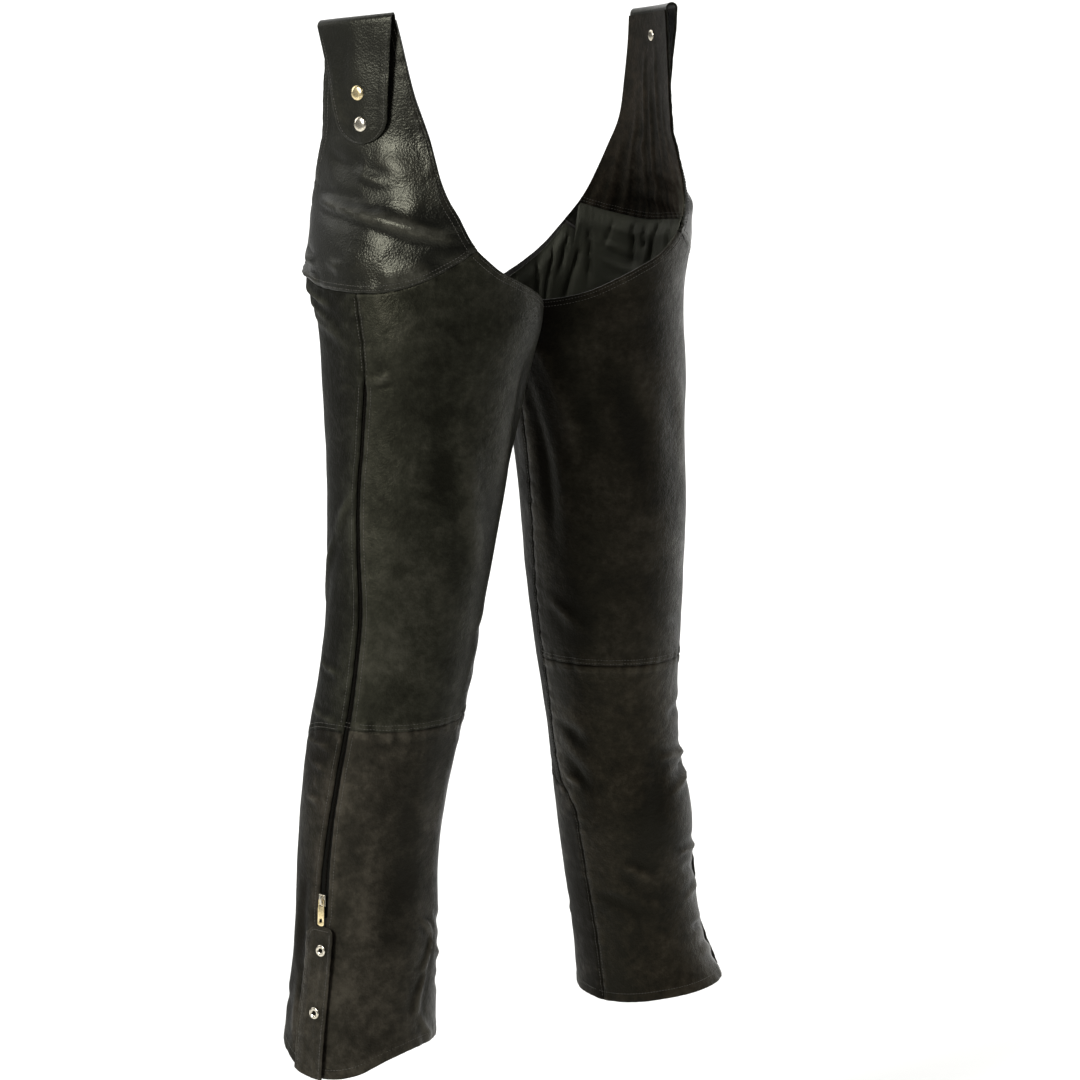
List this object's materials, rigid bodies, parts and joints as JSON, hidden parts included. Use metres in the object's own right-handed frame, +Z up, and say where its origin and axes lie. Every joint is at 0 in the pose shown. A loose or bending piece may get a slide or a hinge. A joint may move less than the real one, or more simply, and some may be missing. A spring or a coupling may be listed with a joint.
{
  "type": "leather chaps",
  "caption": "Pair of black leather riding chaps: hip-set legs that hang from a belt by folded snap straps, with outer side zips and hem snap flaps.",
  "frame": {"origin": "the wearer's centre at belt height, where the belt through both straps holds the legs", "axes": "+Z up along the wearer, -Y the way the wearer faces, +X towards the wearer's left leg"},
  "size_m": [0.5241, 0.2148, 1.0292],
  "materials": {
    "black_cowhide_yoke_R": "semi-matt, grained",
    "black_cowhide_facing_R": "semi-matt, grained",
    "black_cowhide_front_thigh_R": "semi-matt, grained",
    "black_cowhide_front_shin_R": "semi-matt, grained",
    "black_cowhide_back_thigh_R": "semi-matt, grained",
    "black_cowhide_back_calf_R": "semi-matt, grained",
    "black_polyester_lining_lining_R": "satin",
    "black_polyester_zip_tape_zip_tape_R": "matt, woven",
    "blackened_brass_zip_chain_zip_chain_R": "blackened",
    "nickel_plated_brass_zip_slider_R": "polished",
    "nickel_plated_brass_zip_pull_R": "polished",
    "black_cowhide_snap_flap_R": "semi-matt, grained",
    "nickel_plated_brass_strap_cap_upper_R": "polished",
    "nickel_plated_brass_strap_cap_lower_R": "polished",
    "nickel_plated_brass_strap_stud_upper_R": "polished",
    "nickel_plated_brass_strap_stud_lower_R": "polished",
    "nickel_plated_brass_strap_rivet_R": "polished",
    "nickel_plated_brass_hem_cap_upper_R": "polished",
    "nickel_plated_brass_hem_cap_lower_R": "polished",
    "black_cowhide_yoke_L": "semi-matt, grained",
    "black_cowhide_facing_L": "semi-matt, grained",
    "black_cowhide_front_thigh_L": "semi-matt, grained",
    "black_cowhide_front_shin_L": "semi-matt, grained",
    "black_cowhide_back_thigh_L": "semi-matt, grained",
    "black_cowhide_back_calf_L": "semi-matt, grained",
    "black_polyester_lining_lining_L": "satin",
    "black_polyester_zip_tape_zip_tape_L": "matt, woven",
    "blackened_brass_zip_chain_zip_chain_L": "blackened",
    "nickel_plated_brass_zip_slider_L": "polished",
    "nickel_plated_brass_zip_pull_L": "polished",
    "black_cowhide_snap_flap_L": "semi-matt, grained",
    "nickel_plated_brass_strap_cap_upper_L": "polished",
    "nickel_plated_brass_strap_cap_lower_L": "polished",
    "nickel_plated_brass_strap_stud_upper_L": "polished",
    "nickel_plated_brass_strap_stud_lower_L": "polished",
    "nickel_plated_brass_strap_rivet_L": "polished",
    "nickel_plated_brass_hem_cap_upper_L": "polished",
    "nickel_plated_brass_hem_cap_lower_L": "polished"
  },
  "bodies": {
    "chaps": {"yoke_R": "black_cowhide_yoke_R", "facing_R": "black_cowhide_facing_R", "front_thigh_R": "black_cowhide_front_thigh_R", "front_shin_R": "black_cowhide_front_shin_R", "back_thigh_R": "black_cowhide_back_thigh_R", "back_calf_R": "black_cowhide_back_calf_R", "lining_R": "black_polyester_lining_lining_R", "zip_tape_R": "black_polyester_zip_tape_zip_tape_R", "zip_chain_R": "blackened_brass_zip_chain_zip_chain_R", "zip_slider_R": "nickel_plated_brass_zip_slider_R", "snap_flap_R": "black_cowhide_snap_flap_R", "strap_cap_upper_R": "nickel_plated_brass_strap_cap_upper_R", "strap_cap_lower_R": "nickel_plated_brass_strap_cap_lower_R", "strap_stud_upper_R": "nickel_plated_brass_strap_stud_upper_R", "strap_stud_lower_R": "nickel_plated_brass_strap_stud_lower_R", "strap_rivet_R": "nickel_plated_brass_strap_rivet_R", "hem_cap_upper_R": "nickel_plated_brass_hem_cap_upper_R", "hem_cap_lower_R": "nickel_plated_brass_hem_cap_lower_R", "yoke_L": "black_cowhide_yoke_L", "facing_L": "black_cowhide_facing_L", "front_thigh_L": "black_cowhide_front_thigh_L", "front_shin_L": "black_cowhide_front_shin_L", "back_thigh_L": "black_cowhide_back_thigh_L", "back_calf_L": "black_cowhide_back_calf_L", "lining_L": "black_polyester_lining_lining_L", "zip_tape_L": "black_polyester_zip_tape_zip_tape_L", "zip_chain_L": "blackened_brass_zip_chain_zip_chain_L", "zip_slider_L": "nickel_plated_brass_zip_slider_L", "snap_flap_L": "black_cowhide_snap_flap_L", "strap_cap_upper_L": "nickel_plated_brass_strap_cap_upper_L", "strap_cap_lower_L": "nickel_plated_brass_strap_cap_lower_L", "strap_stud_upper_L": "nickel_plated_brass_strap_stud_upper_L", "strap_stud_lower_L": "nickel_plated_brass_strap_stud_lower_L", "strap_rivet_L": "nickel_plated_brass_strap_rivet_L", "hem_cap_upper_L": "nickel_plated_brass_hem_cap_upper_L", "hem_cap_lower_L": "nickel_plated_brass_hem_cap_lower_L"},
    "pull_R": {"zip_pull_R": "nickel_plated_brass_zip_pull_R"},
    "pull_L": {"zip_pull_L": "nickel_plated_brass_zip_pull_L"}
  },
  "joints": [
    {"name": "zip_pull_R", "type": "hinge", "parent": "chaps", "child": "pull_R", "pos_m": [-0.24546, 0.01415, -0.82381], "axis": [-0.2056, 0.9784, -0.0226], "range_deg": [0, 165]},
    {"name": "zip_pull_L", "type": "hinge", "parent": "chaps", "child": "pull_L", "pos_m": [0.22511, -0.00599, -0.82376], "axis": [-0.1919, -0.9775, -0.0874], "range_deg": [0, 165]}
  ]
}
